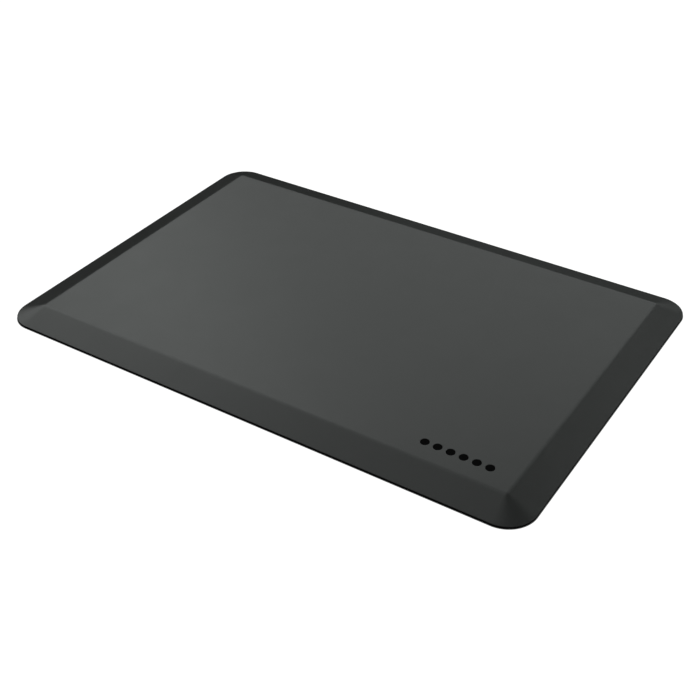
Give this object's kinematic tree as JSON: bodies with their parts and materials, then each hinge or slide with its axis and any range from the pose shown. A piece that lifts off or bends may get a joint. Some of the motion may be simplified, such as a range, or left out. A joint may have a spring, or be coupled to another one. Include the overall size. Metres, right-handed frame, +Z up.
{
  "type": "anti fatigue mat",
  "caption": "Low rectangular anti-fatigue floor mat: flat standing surface, sides ramped down all round, rounded outer corners, foam core under a moulded skin, flat non-slip base.",
  "frame": {"origin": "middle of the flat underside, on the floor", "axes": "+X along the long side, +Y from the front long edge (the one with the row of small discs near its +X end) to the rear one, +Z up out of the standing surface"},
  "size_m": [0.9144, 0.6096, 0.019],
  "materials": {
    "skin": "satin charcoal self-skinned polyurethane with a very fine grain",
    "foam": "matte open-cell cut foam",
    "base": "matte black non-slip sheet with a moulded tread underneath",
    "inlay": "matte black"
  },
  "bodies": {
    "root": {"base_sheet": "base", "foam_core": "foam", "top_skin": "skin", "inlay_disc_1": "inlay", "inlay_disc_2": "inlay", "inlay_disc_3": "inlay", "inlay_disc_4": "inlay", "inlay_disc_5": "inlay", "inlay_disc_6": "inlay"}
  },
  "joints": []
}
